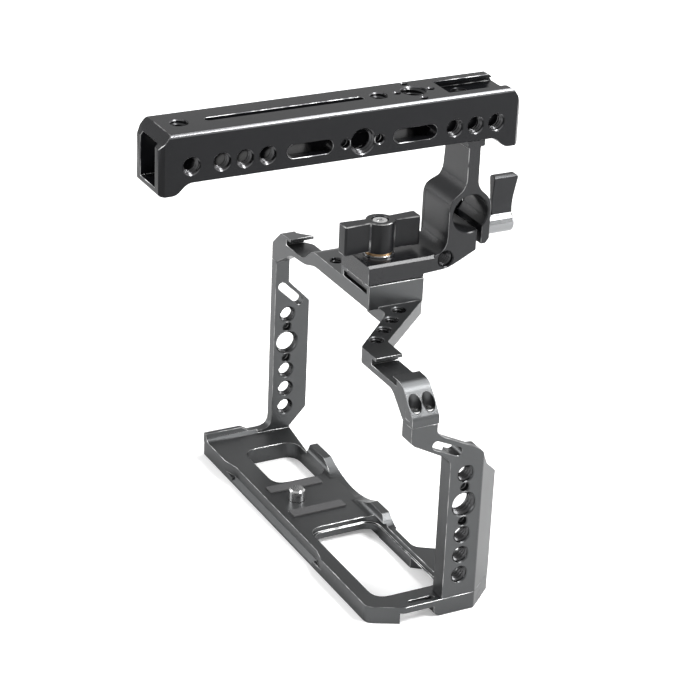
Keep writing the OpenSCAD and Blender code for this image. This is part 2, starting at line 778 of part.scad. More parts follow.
module grip_upright() {
    bracket_front = bracket_y + bracket_w;
    color(cage_col) difference() {
        // Plan with the wing, crossed with the side outline of the upright, the slanted arm and its head
        intersection() {
            slab_xy(outline([
                [x_grip - grip_t, bracket_y - cut, 0],
                [x_grip, bracket_y - cut, 0],
                [x_grip, grip_front, edge_soft],
                [x_grip - wing_x, wing_front, 0],
                [x_grip - wing_x - wing_t, wing_front, 0],
                [x_grip - grip_t, grip_front + wing_t / 2, edge_soft]]), -cut, grip_seam_z + cut);
            slab_yz(outline(concat([
                [bracket_y, grip_seam_z, 0],
                [bracket_y, bracket_low_z + bracket_corner, edge_soft],
                [bracket_y + bracket_corner, bracket_low_z, edge_soft],
                [grip_back - 2 * bracket_corner, bracket_foot_z + bracket_corner, soft_bend],
                [grip_back, bracket_foot_z - bracket_corner, soft_bend],
                [grip_back, 0, 0],
                [wing_front + cut, 0, 0],
                [wing_front + cut, grip_seam_z - wing_steps[0][1], 0]],
                [for (p = wing_steps) [wall_y + p[0], grip_seam_z - p[1], edge_soft]],
                [[grip_crest[0], grip_crest[1], soft_mid],
                [bracket_front + bracket_step, bracket_top_z, soft_step],
                [bracket_front, bracket_top_z + bracket_step, soft_small],
                [bracket_front, grip_seam_z, 0]])), x_grip - wing_x - wing_t - cut, x_grip + cut);
        }
        // Pocket that leaves the slanted arm thin
        slab_yz([
            [bracket_front - bracket_fall - cut, bracket_low_z - bracket_corner - cut],
            [bracket_front, bracket_top_z - cut],
            [bracket_front + cut, bracket_top_z + 2 * cut],
            [grip_crest[0] + cut, grip_crest[1] + cut],
            [grip_crest[0] + cut, grip_crest[1] - edge_soft],
            [bracket_slot_b[0], grip_top_z + edge_soft],
            [grip_back + pocket_in, grip_top_z],
            [grip_back - pocket_in, bracket_foot_z - 2 * bracket_corner],
            [bracket_front - bracket_fall - cut, bracket_foot_z - 2 * bracket_corner]],
            x_grip - grip_t - cut, x_grip - bracket_skin);
        upright_holes(x_grip - grip_t, x_grip, grip_row_z);
        for (s = [-1, 1])
            drill_x(x_grip - pin_deep, x_grip, hole_y, grip_row_z + s * pin_step, pin_r, false);
        slab_yz(capsule(bracket_slot_b, bracket_slot_a, bracket_slot_r), x_grip - grip_t - cut,
            x_grip + cut);
        for (p = foot_screws)
            translate([p[0], p[1], -cut]) cylinder(h = foot_screw_l - foot_screw_z + cut,
                r = m3_r + run_gap);
        for (s = [-1, 1]) translate([x_grip - grip_screw_in, strap_mid() + s * grip_screw_pitch / 2,
            grip_screw_z - grip_screw_l - run_gap]) cylinder(h = grip_screw_l + cut, r = m3_r + run_gap);
    }
}

function strap_mid() = (strap_back + strap_front) / 2;

module grip_bottom_screws() {
    color(steel_col) for (p = foot_screws)
        translate([p[0], p[1], -plate_t + foot_screw_z]) rotate([180, 0, 0]) cap_screw(foot_screw_l);
}

module grip_top_screws() {
    color(steel_col) for (s = [-1, 1])
        translate([x_grip - grip_screw_in, strap_mid() + s * grip_screw_pitch / 2, grip_screw_z])
            cap_screw(grip_screw_l);
}

module left_joint_screws() {
    color("dimgray") for (z = m2_z) translate([x_left, wall_y + neck_w / 2, seam_z + z])
        rotate([0, 90, 0]) difference() {
            union() {
                cylinder(h = m2_head_h, r1 = m2_head_r, r2 = m2_r);
                cylinder(h = m2_l, r = m2_r);
            }
            translate([0, 0, -cut]) cylinder(h = cut + m2_head_h * 0.7, r = m2_r * 0.6, $fn = 6);
        }
}

// Corner block with the far shoe, rising to the top bar.
module bar_profile() {
    slab_xz(outline([
        [x_left, seam_z, 0],
        [x_left + wall_t, seam_z, edge_soft],
        [gusset_x, gusset_z, soft_mid],
        [dip_x, dip_z, soft_mid],
        [bar_low_x, bar_z - bar_t, soft_mid],
        [dock_x + dock_w / 2, bar_z - bar_t, 0],
        [dock_x + dock_w / 2, dock_z, 0],
        [dock_x - dock_w / 2, dock_z, 0],
        [dock_x - dock_w / 2, bar_z, 0],
        [bar_rise_x, bar_z, soft_wide],
        [far_floor_end, far_floor_z, soft_wide],
        [far_wall_x, far_floor_z, 0],
        [far_wall_x, far_floor_z + shoe_h, 0],
        [far_lip_x, far_floor_z + shoe_h, 0],
        [far_lip_x, corner_z, 0],
        [x_left + block_chamfer, corner_z - corner_fall, soft_tiny],
        [x_left, corner_z - block_chamfer, soft_tiny]]), wall_y - cut, dock_front + cut);
}

module bar_plan() {
    slab_xy(outline([
        [dock_x + dock_w / 2 + cut, wall_y, 0],
        [dock_x + dock_w / 2 + cut, dock_front, 0],
        [dock_x - dock_w / 2 - mouth, dock_front, 0],
        [bar_mid_x, wall_y + bar_mid_w, soft_mid],
        [bar_mid_x - far_shoe_w, wall_y + far_shoe_w, soft_mid],
        [far_lip_x, wall_y + far_shoe_w, soft_small],
        [far_wall_x - shoe_lip * 2, wall_y + neck_w, soft_small],
        [x_left - cut, wall_y + neck_w, 0],
        [x_left - cut, wall_y, 0]]), seam_z - cut, dock_z + cut);
}

module strap_plan() {
    slab_xy(outline([
        [dock_x + dock_w / 2 - strap_under, strap_root, 0],
        [strap_root_x, strap_root, soft_wide],
        [strap_corner_x, strap_back, strap_soft],
        [x_grip + cut, strap_back, 0],
        [x_grip + cut, strap_front, 0],
        [strap_corner_x, strap_front, strap_soft],
        [dock_x + dock_w / 2 + edge_soft, dock_front - edge_soft, edge_soft],
        [dock_x + dock_w / 2 - strap_under, dock_front - edge_soft, 0]]), grip_seam_z - cut, strap_z + cut);
}

// Profile of the strap, the second shoe and the end that curves down to the bracket.
module strap_profile() {
    near_wall = near_lip_x + shoe_gap + (shoe_w - shoe_gap) / 2;
    slab_xz(outline([
        [dock_x + dock_w / 2 - strap_under - cut, strap_z - strap_t, 0],
        [strap_corner_x, strap_z - strap_t, 0],
        [strap_corner_x + edge_soft, near_low_z, 0],
        [end_inner_x, near_low_z, soft_mid],
        [x_grip - grip_t - end_heel[0], near_low_z - end_heel[1], soft_mid],
        [x_grip - grip_t, grip_seam_z, 0],
        [x_grip, grip_seam_z, 0],
        [x_grip, grip_seam_z + end_lip_h, soft_small],
        [x_grip - end_crest[0], strap_z - end_crest[1], soft_wide],
        [near_lip_x + shoe_gap, strap_z - shoe_rim_drop, mouth / 2],
        [near_lip_x + shoe_gap, near_floor_z + shoe_h, 0],
        [near_wall, near_floor_z + shoe_h, 0],
        [near_wall, near_floor_z, 0],
        [near_lip_x - (shoe_w - shoe_gap) / 2, near_floor_z, 0],
        [near_lip_x - (shoe_w - shoe_gap) / 2, near_floor_z + shoe_h, 0],
        [near_lip_x, near_floor_z + shoe_h, 0],
        [near_lip_x, strap_z, 0],
        [dock_x + dock_w / 2 - strap_under - cut, strap_z, 0]]), strap_back - cut, dock_front + cut);
}

module top_frame() {
    color(cage_col) difference() {
        union() {
            intersection() {
                bar_profile();
                bar_plan();
            }
            intersection() {
                strap_plan();
                strap_profile();
            }
        }
        // Slot of the central shoe
        block(dock_x - shoe_w / 2, dock_x + shoe_w / 2, wall_y - cut, dock_front + cut,
            dock_floor_z, dock_floor_z + shoe_h);
        block(dock_x - shoe_gap / 2, dock_x + shoe_gap / 2, wall_y - cut, dock_front + cut,
            dock_floor_z, dock_z + cut);
        // Tapped holes of the bar and of the diagonal strap
        drill_z(bar_hole_x, wall_y + bar_hole_in, bar_z - bar_t, bar_z, tapped_r);
        for (i = [0:strap_holes - 1])
            drill_z(strap_hole_first[0] + i * strap_pitch / sqrt(2),
                strap_hole_first[1] - i * strap_pitch / sqrt(2),
                strap_z - strap_t, strap_z, tapped_r);
        // Counterbored screws down into the bracket
        for (s = [-1, 1]) translate([x_grip - grip_screw_in, strap_mid() + s * grip_screw_pitch / 2, 0]) {
            translate([0, 0, grip_screw_z]) cylinder(h = strap_z - grip_screw_z + cut, r = bore_r);
            translate([0, 0, grip_seam_z - cut])
                cylinder(h = grip_screw_z - grip_seam_z + 2 * cut, r = m3_r + run_gap);
        }
        // Slot for the left upright's tongue, with its countersunk screws
        block(x_left + tongue_in - tongue_gap, x_left + tongue_in + tongue_t + tongue_gap,
            wall_y + tongue_side - tongue_gap, wall_y + neck_w - tongue_side + tongue_gap,
            seam_z - cut, seam_z + tongue_h + tongue_gap);
        for (z = m2_z) translate([x_left, wall_y + neck_w / 2, seam_z + z]) rotate([0, 90, 0]) {
            translate([0, 0, -cut]) cylinder(h = tongue_in + cut + tongue_gap, r = m2_r + run_gap);
            translate([0, 0, -cut])
                cylinder(h = m2_head_h + cut, r1 = m2_head_r + run_gap + cut, r2 = m2_r + run_gap);
        }
    }
}

module arm_outline() {
    slab_yz(outline([
        [foot_back, foot_z, edge_soft],
        [heel_y, foot_z, 0],
        [heel_y, foot_z + heel_z, 0],
        [heel_y + heel_run, foot_z + heel_z + edge_soft, soft_wide],
        [jaw_y - jaw_t - slit_w / 2, jaw_z - jaw_step, 0],
        [jaw_y - jaw_t - slit_w / 2, jaw_z, 0],
        [jaw_y - jaw_cut, jaw_z, 0],
        [jaw_y, jaw_z + jaw_rise, 0],
        [jaw_y, rod_z + jaw_soft_z, soft_jaw],
        [neck_front, neck_z, soft_wide],
        [neck_front, arm_bottom - flange_t, edge_soft],
        [neck_front + flange_front, arm_bottom - flange_t, 0],
        [neck_front + flange_front, arm_bottom, 0],
        [neck_back - flange_back, arm_bottom, 0],
        [neck_back - flange_back, arm_bottom - flange_t, 0],
        [neck_back, arm_bottom - flange_t, edge_soft],
        [neck_back, neck_z, soft_neck],
        [rod_y - rod_r - back_wall, shoulder_z, soft_neck],
        [rod_y - rod_r - back_wall, foot_top, soft_heel],
        [foot_back, foot_top, edge_soft]]), dock_x - arm_w / 2, dock_x + arm_w / 2);
}

module handle_arm() {
    color(kit_col) difference() {
        union() {
            arm_outline();
            block(dock_x - shoe_gap / 2 + rib_gap, dock_x + shoe_gap / 2 - rib_gap, foot_back + rib_gap,
                dock_front, foot_z - rib_drop, foot_z + cut);
        }
        // Edge chamfers of the foot
        for (s = [-1, 1]) {
            slab_xz([
                [dock_x + s * (arm_w / 2 + cut), foot_top + cut],
                [dock_x + s * (arm_w / 2 + cut), foot_top - foot_edge - cut],
                [dock_x + s * (arm_w / 2 - foot_edge - cut), foot_top + cut]], foot_back - cut,
                rod_y - rod_r - foot_edge_out);
        }
        // The clamp ring and the neck are narrower than the foot on their far side
        slab_xz([
            [dock_x - arm_w / 2 - cut, foot_top],
            [dock_x - arm_w / 2 + neck_in, foot_top],
            [dock_x - arm_w / 2 + neck_in, neck_z],
            [dock_x - arm_w / 2 + neck_in + neck_taper, arm_bottom - flange_t],
            [dock_x - arm_w / 2 - cut, arm_bottom - flange_t]], rod_y - rod_r - 2 * back_wall, jaw_y + cut);
        // Rod bore, with the slit that lets the jaw close on the rod
        drill_x(dock_x - arm_w / 2 + neck_in, dock_x + arm_w / 2, rod_y, rod_z, rod_r);
        block(dock_x - arm_w / 2 - cut, dock_x + arm_w / 2 + cut, jaw_y - jaw_t - slit_w, jaw_y - jaw_t,
            jaw_z - 2 * cut, rod_z - rod_r / 2);
        // Tapped hole beside the foot
        drill_x(dock_x - arm_w / 2, dock_x + arm_w / 2, arm_hole[0], arm_hole[1], quarter_r);
        // Clamp screw: clear through the jaw, tapped in the body
        translate([dock_x, jaw_y - jaw_t - slit_w - clamp_in, clamp_z]) rotate([-90, 0, 0])
            cylinder(h = jaw_t + slit_w + clamp_in + cut, r = clamp_r + run_gap);
        // Stud of the wing knob
        translate([dock_x, knob_y, foot_z - rib_drop - cut])
            cylinder(h = foot_h + rib_drop + 2 * cut, r = stud_r + run_gap);
        // Handle bolts
        for (s = [-1, 1]) translate([dock_x + s * bolt_x, bolt_y, bolt_seat() - bolt_l - run_gap])
            cylinder(h = bolt_l + cut, r = m3_r + run_gap);
    }
}

function bolt_seat() = handle_z - shoe_lip - shoe_h - bolt_deep;

module handle_bolts() {
    color(steel_col) for (s = [-1, 1])
        translate([dock_x + s * bolt_x, bolt_y, bolt_seat()]) cap_screw(bolt_l);
}

module handle_outline() {
    bottom = handle_z - handle_h;
    slab_yz(outline([
        [handle_back, bottom, soft_end],
        [handle_back + arch_in, bottom, soft_mid],
        [handle_back + arch_in + arch_run, bottom + arch_h, soft_arch],
        [handle_front - arch_in - arch_run, bottom + arch_h, soft_arch],
        [handle_front - arch_in, bottom, soft_mid],
        [handle_front, bottom, soft_end],
        [handle_front, handle_z - nose_z, soft_nose],
        [handle_front - nose_y, handle_z, soft_nose],
        [handle_back + end_cut_y, handle_z, 0],
        [handle_back, handle_z - end_cut_z, 0]]), dock_x - handle_w / 2, dock_x + handle_w / 2);
}

module handle_body() {
    bottom = handle_z - handle_h;
    half = handle_w / 2;
    color(kit_col) difference() {
        handle_outline();
        for (s = [-1, 1]) {
            // Rounded long top edges
            slab_xz(concat(
                [[dock_x + s * (half + cut), handle_z + cut], [dock_x + s * (half + cut),
                    handle_z - handle_edge]],
                blend([dock_x + s * (half + run_gap), handle_z - 2 * handle_edge],
                    [dock_x + s * (half + run_gap), handle_z + run_gap],
                    [dock_x + s * (half - 2 * handle_edge), handle_z + run_gap], handle_edge),
                [[dock_x + s * (half - handle_edge), handle_z + cut]]), handle_back - cut,
                    handle_front + cut);
            // Upright end edges
            for (y = [[handle_back, -1], [handle_front, 1]]) slab_xy([
                [dock_x + s * (half + cut), y[0] + y[1] * cut],
                [dock_x + s * (half - handle_end - cut), y[0] + y[1] * cut],
                [dock_x + s * (half + cut), y[0] - y[1] * (handle_end + cut)]], bottom - cut,
                    handle_z + cut);
            // Tapped holes in both sides beyond the channel, and the pins
            for (y = side_quarters) translate([dock_x, y, side_row_z]) rotate([0, s * 90, 0])
                translate([0, 0, half - (y < channel_end ? handle_wall + cut : side_quarter_deep)])
                    drill(quarter_r, y < channel_end ? handle_wall + cut : side_quarter_deep, false);
            translate([dock_x, side_big, side_row_z]) rotate([0, s * 90, 0])
                translate([0, 0, half - handle_wall - cut]) drill(three_eighths_r,
                    handle_wall + cut, false);
            for (t = [-1, 1]) translate([dock_x, side_big + t * pin_step, side_row_z])
                rotate([0, s * 90, 0])
                translate([0, 0, half - pin_deep]) drill(pin_r, pin_deep, false);
            translate([dock_x + s * top_pin_x, top_big, handle_z - pin_deep])
                drill(top_pin_r, pin_deep, false);
            translate([dock_x, top_big + s * top_pin_y, handle_z - pin_deep])
                drill(top_pin_r, pin_deep, false);
            translate([dock_x + s * bolt_x, bolt_y, 0]) {
                translate([0, 0, bottom]) cylinder(h = handle_h, r = m3_r + run_gap);
                translate([0, 0, bolt_seat()]) cylinder(h = bolt_deep + cut, r = bore_r);
            }
        }
        // Channel, open at the back end
        slab_yz([
            [handle_back - cut, bottom + channel_floor],
            [handle_back + arch_in, bottom + channel_floor],
            [handle_back + arch_in + arch_run, bottom + arch_h + channel_floor],
            [channel_end, bottom + arch_h + channel_floor],
            [channel_end, handle_z - channel_top],
            [handle_back - cut, handle_z - channel_top]],
            dock_x - half + handle_wall, dock_x + half - handle_wall);
        // Side slots
        for (p = side_slots)
            slab_yz(capsule([p[0], side_row_z], [p[1], side_row_z], side_slot_r),
                dock_x - half - cut, dock_x + half + cut);
        // Top holes and long slot
        for (y = top_quarters)
            translate([dock_x, y, handle_z - channel_top - cut]) drill(quarter_r, channel_top + cut, false);
        translate([dock_x, top_big, handle_z - channel_top - cut])
            drill(three_eighths_r, channel_top + cut, false);
        slab_xy(capsule([dock_x, top_slot_y[0]], [dock_x, top_slot_y[1]], top_slot_r),
            handle_z - channel_top - cut, handle_z + cut);
        // Shoe on top, open at the front end
        block(dock_x - shoe_w / 2, dock_x + shoe_w / 2, top_shoe_in, handle_front + cut,
            handle_z - shoe_lip - shoe_h, handle_z - shoe_lip);
        block(dock_x - shoe_gap / 2, dock_x + shoe_gap / 2, top_shoe_in, handle_front + cut,
            handle_z - shoe_lip - shoe_h, handle_z + cut);
    }
}

module rod_clamp_screw() {
    color(steel_col) translate([dock_x, jaw_y - jaw_t - slit_w - clamp_in + run_gap, clamp_z])
        rotate([-90, 0, 0])
        cylinder(h = jaw_t + slit_w + clamp_in + hub_l - lever_screw_deep - cut - clamp_short, r = clamp_r);
}

module rod_lever() {
    tip = clamp_z + lever_h;
    color(kit_col) difference() {
        union() {
            translate([dock_x, hub_y, clamp_z]) rotate([-90, 0, 0]) {
                cylinder(h = hub_l - hub_end, r = hub_r);
                translate([0, 0, hub_l - hub_end]) cylinder(h = hub_end, r1 = hub_r, r2 = hub_r - hub_end);
            }
            // Thumb blade, waisted in both views
            intersection() {
                slab_yz(outline([
                    [hub_y + blade_back, clamp_z, 0],
                    [hub_y + blade_root, clamp_z, 0],
                    [hub_y + blade_root, clamp_z + lever_h / 3, soft_wide],
                    [hub_y + blade_front, tip - blade_edge, edge_soft],
                    [hub_y + blade_front - blade_edge, tip, edge_soft],
                    [hub_y + blade_back, tip, edge_soft]]), dock_x - blade_t, dock_x + blade_t);
                slab_xz(outline([
                    [dock_x - blade_t / 2, clamp_z, 0],
                    [dock_x + blade_t / 2, clamp_z, 0],
                    [dock_x + blade_waist / 2, clamp_z + lever_h / 2.4, soft_neck],
                    [dock_x + blade_t / 2, tip - blade_edge, 0],
                    [dock_x + blade_t / 2 - blade_edge, tip, 0],
                    [dock_x - blade_t / 2 + blade_edge, tip, 0],
                    [dock_x - blade_t / 2, tip - blade_edge, 0],
                    [dock_x - blade_waist / 2, clamp_z + lever_h / 2.4, soft_neck]]), hub_y,
                        hub_y + hub_l + lever_h);
            }
        }
        translate([dock_x, hub_y - cut, clamp_z]) rotate([-90, 0, 0])
            cylinder(h = hub_l - lever_screw_deep - cut, r = clamp_r + run_gap);
        translate([dock_x, hub_y + hub_l - lever_screw_deep, clamp_z]) rotate([-90, 0, 0])
            cylinder(h = lever_screw_deep + cut, r = lever_screw_r + run_gap);
    }
}

module lever_end_screw() {
    color("dimgray") translate([dock_x, hub_y + hub_l - lever_screw_deep, clamp_z]) rotate([-90, 0, 0])
        difference() {
            cylinder(h = lever_screw_h, r = lever_screw_r);
            translate([0, 0, lever_screw_h / 2]) cylinder(h = lever_screw_h, r = lever_screw_r / 2,
                $fn = 6);
        }
}

module shoe_clamp_plate() {
    color(steel_col) difference() {
        block(dock_x - shoe_w / 2 + plate_side, dock_x + shoe_w / 2 - plate_side, wall_y + plate_end,
            dock_front - plate_end, dock_floor_z + shoe_h - plate_thick - seat_gap,
                dock_floor_z + shoe_h - seat_gap);
        translate([dock_x, knob_y, dock_floor_z]) cylinder(h = shoe_h + cut, r = stud_r + run_gap);
    }
}

module clamp_stud() {
    color(steel_col) difference() {
        translate([dock_x, knob_y, dock_floor_z + stud_under])
            cylinder(h = knob_z + knob_h - knob_recess_h - run_gap - dock_floor_z - stud_under, r = stud_r);
        translate([dock_x, knob_y, knob_z + knob_h - knob_recess_h - knob_screw_l - run_gap])
            cylinder(h = knob_screw_l + cut, r = knob_screw_shank + run_gap);
    }
}

module washer(z, r, t) {
    translate([dock_x, knob_y, z]) difference() {
        cylinder(h = t, r = r);
        translate([0, 0, -cut]) cylinder(h = t + 2 * cut, r = stud_r + run_gap);
    }
}

module clamp_washer() {
    color(steel_col) washer(foot_top + run_gap / 2, washer_r, washer_t);
}

module thrust_washer() {
    color("burlywood") washer(foot_top + washer_t + run_gap, thrust_r, thrust_t);
}

module clamp_knob() {
    color(kit_col) translate([dock_x, knob_y, knob_z]) difference() {
        union() {
            cylinder(h = knob_h, r = boss_r);
            slab_xy(outline([
                [-knob_t / 2, -knob_l / 2, wing_end_soft],
                [knob_t / 2, -knob_l / 2, wing_end_soft],
                [knob_t / 2 * waist_share, -boss_r, soft_mid],
                [knob_t / 2 * waist_share, boss_r, soft_mid],
                [knob_t / 2, knob_l / 2, wing_end_soft],
                [-knob_t / 2, knob_l / 2, wing_end_soft],
                [-knob_t / 2 * waist_share, boss_r, soft_mid],
                [-knob_t / 2 * waist_share, -boss_r, soft_mid]]), wing_lift, knob_h);
        }
        translate([0, 0, -cut]) cylinder(h = knob_h - knob_recess_h + 2 * cut, r = stud_r + run_gap);
        translate([0, 0, knob_h - knob_recess_h]) cylinder(h = knob_recess_h + cut, r = knob_recess_r);
    }
}

module knob_screw() {
    color(steel_col) translate([dock_x, knob_y, knob_z + knob_h - knob_recess_h]) difference() {
        union() {
            cylinder(h = knob_screw_h, r = knob_screw_r);
            translate([0, 0, -knob_screw_l]) cylinder(h = knob_screw_l + cut / 2, r = knob_screw_shank);
        }
        translate([0, 0, knob_screw_h / 2]) cylinder(h = knob_screw_h, r = knob_screw_r / 2, $fn = 6);
    }
}

base_frame();
top_frame();
grip_upright();
left_joint_screws();
grip_top_screws();
grip_bottom_screws();
camera_screw();
screw_ring();
pad_left();
pad_right();
handle_body();
handle_bolts();
handle_arm();
rod_clamp_screw();
rod_lever();
lever_end_screw();
shoe_clamp_plate();
clamp_stud();
clamp_washer();
thrust_washer();
clamp_knob();
knob_screw();
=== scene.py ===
"""Looks of the camera cage: finishes, worn edges, threads, screw heads, floor, light and camera."""
import json
import math

import bmesh
import bpy
from mathutils import Matrix, Vector


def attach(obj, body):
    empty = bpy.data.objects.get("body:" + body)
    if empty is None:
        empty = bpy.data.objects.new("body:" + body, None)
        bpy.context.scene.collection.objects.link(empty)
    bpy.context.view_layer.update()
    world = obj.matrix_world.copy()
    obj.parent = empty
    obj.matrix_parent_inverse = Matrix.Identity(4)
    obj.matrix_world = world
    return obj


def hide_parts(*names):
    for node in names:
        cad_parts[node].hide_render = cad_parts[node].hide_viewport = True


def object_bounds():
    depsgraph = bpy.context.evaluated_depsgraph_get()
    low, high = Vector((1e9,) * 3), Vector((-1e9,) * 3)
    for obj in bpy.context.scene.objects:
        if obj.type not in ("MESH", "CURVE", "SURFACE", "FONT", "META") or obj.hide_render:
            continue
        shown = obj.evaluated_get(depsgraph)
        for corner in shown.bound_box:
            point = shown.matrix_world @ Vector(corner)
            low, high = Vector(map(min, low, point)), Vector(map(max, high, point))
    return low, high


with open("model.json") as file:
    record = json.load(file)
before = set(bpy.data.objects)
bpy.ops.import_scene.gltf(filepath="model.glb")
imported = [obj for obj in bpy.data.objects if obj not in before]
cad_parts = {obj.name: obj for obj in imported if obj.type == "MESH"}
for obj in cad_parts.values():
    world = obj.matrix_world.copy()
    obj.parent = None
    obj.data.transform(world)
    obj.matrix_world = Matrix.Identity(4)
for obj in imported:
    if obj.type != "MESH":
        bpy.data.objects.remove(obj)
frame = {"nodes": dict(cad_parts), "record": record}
cad_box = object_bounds()

MM = 0.001
X, Z = (1, 0, 0), (0, 0, 1)
WHITE = (1, 1, 1, 1)
BUMP_DEPTH = 0.1 * MM


# Node trees
class Graph:
    """A node tree, with short calls that add nodes and give their outputs."""

    def __init__(self, tree):
        self.tree = tree

    def add(self, kind, inputs=None, **settings):
        """New node; a value of an input is a number, a colour, or another node's output."""
        node = self.tree.nodes.new(kind)
        for key, value in settings.items():
            setattr(node, key, value)
        for socket, value in (inputs or {}).items():
            if isinstance(value, bpy.types.NodeSocket):
                self.tree.links.new(value, node.inputs[socket])
            else:
                node.inputs[socket].default_value = value
        return node

    def math(self, operation, *values):
        return self.add("ShaderNodeMath", dict(enumerate(values)), operation=operation).outputs[0]

    def vector(self, operation, *values):
        """Vector result of an operation, or its number for a distance or a length."""
        node = self.add("ShaderNodeVectorMath", dict(enumerate(values)), operation=operation)
        return node.outputs["Value" if operation in ("DISTANCE", "LENGTH") else "Vector"]

    def ramp(self, value, low, high, start=0.0, end=1.0):
        """The value's stretch from start to end, spread over low to high and held beyond."""
        inputs = {"Value": value, "From Min": start, "From Max": end, "To Min": low, "To Max": high}
        return self.add("ShaderNodeMapRange", inputs).outputs["Result"]


class Surface(Graph):
    """A new material with one shader."""

    def __init__(self, name):
        self.material = bpy.data.materials.new(name)
        self.material.use_nodes = True
        super().__init__(self.material.node_tree)
        self.tree.nodes.clear()
        self.shader = self.add("ShaderNodeBsdfPrincipled")
        self.out = self.add("ShaderNodeOutputMaterial", {"Surface": self.shader.outputs["BSDF"]})
        self.place = self.add("ShaderNodeTexCoord").outputs["Object"]

    def set(self, **values):
        """Values or outputs for the shader's sockets, such as base_color=(0.1, 0.1, 0.1, 1)."""
        names = {"base_color": "Base Color", "roughness": "Roughness", "metallic": "Metallic",
                 "specular": "Specular IOR Level", "normal": "Normal"}
        for key, value in values.items():
            socket = self.shader.inputs[names[key]]
            if isinstance(value, bpy.types.NodeSocket):
                self.tree.links.new(value, socket)
            else:
                socket.default_value = value

    def noise(self, scale, detail):
        inputs = {"Vector": self.place, "Scale": scale, "Detail": detail}
        return self.add("ShaderNodeTexNoise", inputs).outputs["Fac"]

    def mix(self, share, first, second):
        """Colour from first, at share 0, to second, at share 1."""
        colours = [c if isinstance(c, bpy.types.NodeSocket) else (*c, 1) for c in (first, second)]
        inputs = {"Fac": share, "Color1": colours[0], "Color2": colours[1]}
        return self.add("ShaderNodeMixRGB", inputs).outputs["Color"]

    def bump(self, height, strength):
        inputs = {"Height": height, "Strength": strength, "Distance": BUMP_DEPTH}
        return self.add("ShaderNodeBump", inputs).outputs["Normal"]


# Materials
MOTTLE_SCALE, RUB_SCALE, BLAST_SCALE = 70.0, 190.0, 5200.0
BLAST_BUMP, TURNED_BUMP, RUBBER_BUMP = 0.06, 0.05, 0.3
TURNED_SCALE, RUBBER_SCALE = 2600.0, 3500.0
RUB_FADE = 0.2
# Painted highlight on the handle's rounded long edges: the normal's lean over which it grows, its grey and
# its metallic.
SHEEN_LEAN_FROM, SHEEN_LEAN_TO = 0.16, 0.42
SHEEN_GREY, SHEEN_METALLIC = (0.16, 0.16, 0.165), 0.9
HUB_R = 4.25 * MM
HUB_GREY, BLADE_METALLIC = (0.25, 0.255, 0.26), 0.6


def metal(name, dark, light, rough, ripple=0.03, metallic=0.95, specular=0.5,
          bare=0.3, bare_from=0.74):
    """Bead-blasted anodised metal: fine grain and a little mottling. Where a noise from 0 to 1 is above
    bare_from, the coat is rubbed through to the bare metal, a grey."""
    s = Surface(name)
    mottle = s.noise(MOTTLE_SCALE, 4.0)
    rubbed = s.ramp(s.noise(RUB_SCALE, 5.0), 0.0, 1.0, bare_from, bare_from + RUB_FADE)
    s.colour = s.mix(rubbed, s.mix(mottle, dark, light), (bare, bare, bare))
    s.set(base_color=s.colour, metallic=metallic, specular=specular,
          roughness=s.ramp(mottle, rough - ripple, rough + ripple),
          normal=s.bump(s.noise(BLAST_SCALE, 2.0), BLAST_BUMP))
    return s


def handle_finish(name):
    """Black metal with a painted highlight on the handle's rounded long edges, where the normal leans to X
    and Z alike: grey and more metallic there.
    """
    coated = 0.05
    s = metal(name, (0.0055, 0.0058, 0.0068), (0.008, 0.0083, 0.0096), 0.24, metallic=coated, specular=0.17)
    normal = s.add("ShaderNodeNewGeometry").outputs["Normal"]
    part = s.add("ShaderNodeSeparateXYZ", {"Vector": normal}).outputs
    lean = s.math("ABSOLUTE", s.math("MULTIPLY", part["X"], part["Z"]))
    # Painted highlight: lighter and more metallic where the normal leans to X and Z alike.
    corner = s.ramp(lean, 0.0, 1.0, SHEEN_LEAN_FROM, SHEEN_LEAN_TO)
    s.set(base_color=s.mix(corner, s.colour, SHEEN_GREY), metallic=s.ramp(corner, coated, SHEEN_METALLIC))
    return s


def lever_finish(name):
    """Black blade on a bare, turned hub: the hub is told apart by its distance from the lever's axis."""
    s = metal(name, (0.014, 0.0145, 0.016), (0.02, 0.0205, 0.022), 0.24)
    joints = frame["record"]["behaviour"]["joints"]
    axis = next(joint["pos_m"] for joint in joints if joint["name"] == "rod_lever_turn")
    across = s.vector("MULTIPLY", s.vector("SUBTRACT", s.place, axis), (1, 0, 1))
    hub = s.math("LESS_THAN", s.vector("LENGTH", across), HUB_R)
    s.set(base_color=s.mix(hub, s.colour, HUB_GREY), metallic=s.ramp(hub, BLADE_METALLIC, 1.0))
    return s


def grained(name, colour, dark_share, scale, detail, rough, bump, metallic):
    """One grain that varies the colour, the roughness and the relief together."""
    s = Surface(name)
    grain = s.noise(scale, detail)
    s.set(base_color=s.mix(grain, [c * dark_share for c in colour], colour), metallic=metallic,
          roughness=s.ramp(grain, *rough), normal=s.bump(grain, bump))
    return s


def turned(name, colour, rough):
    """Turned steel: a fine grain that catches the light."""
    return grained(name, colour, 0.85, TURNED_SCALE, 3.0, (rough * 0.7, rough * 1.3), TURNED_BUMP, 1.0)


